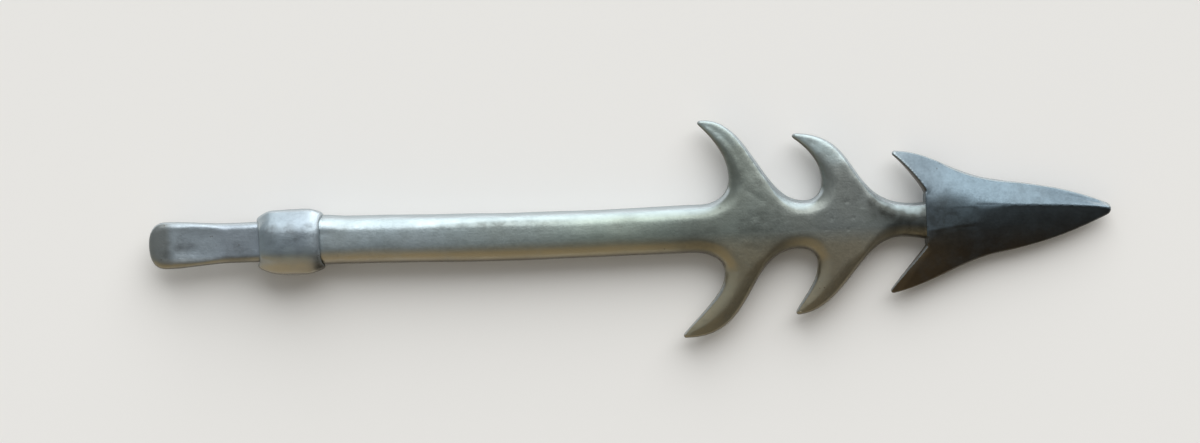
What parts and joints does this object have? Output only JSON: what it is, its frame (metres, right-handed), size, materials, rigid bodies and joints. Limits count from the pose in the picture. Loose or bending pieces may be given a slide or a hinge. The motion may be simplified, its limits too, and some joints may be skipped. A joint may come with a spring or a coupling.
{
  "type": "harpoon head",
  "caption": "Small forged iron harpoon head with barbs swept back from both edges, an arrow-shaped point, a collar and a flat tang for a wooden pole.",
  "frame": {"origin": "middle of the collar's rear face, on the collar's axis, where a pole's end seats", "axes": "+X along the head to its point, +Y across the broad face towards the upper barbs, +Z out of the broad face that carries the tang's dish"},
  "size_m": [0.1603, 0.0361, 0.0092],
  "materials": {
    "point_iron": "smooth dark grey forged iron, ground on the ridge",
    "shank_iron": "dark grey forged iron with fine pitting and an olive-brown patina",
    "collar_iron": "dark grey forged iron, rubbed bright on the edges",
    "tang_iron": "grey forged iron, hammered flat"
  },
  "bodies": {
    "root": {"point": "point_iron", "barbed_shank": "shank_iron", "collar": "collar_iron", "tang": "tang_iron"}
  },
  "joints": []
}
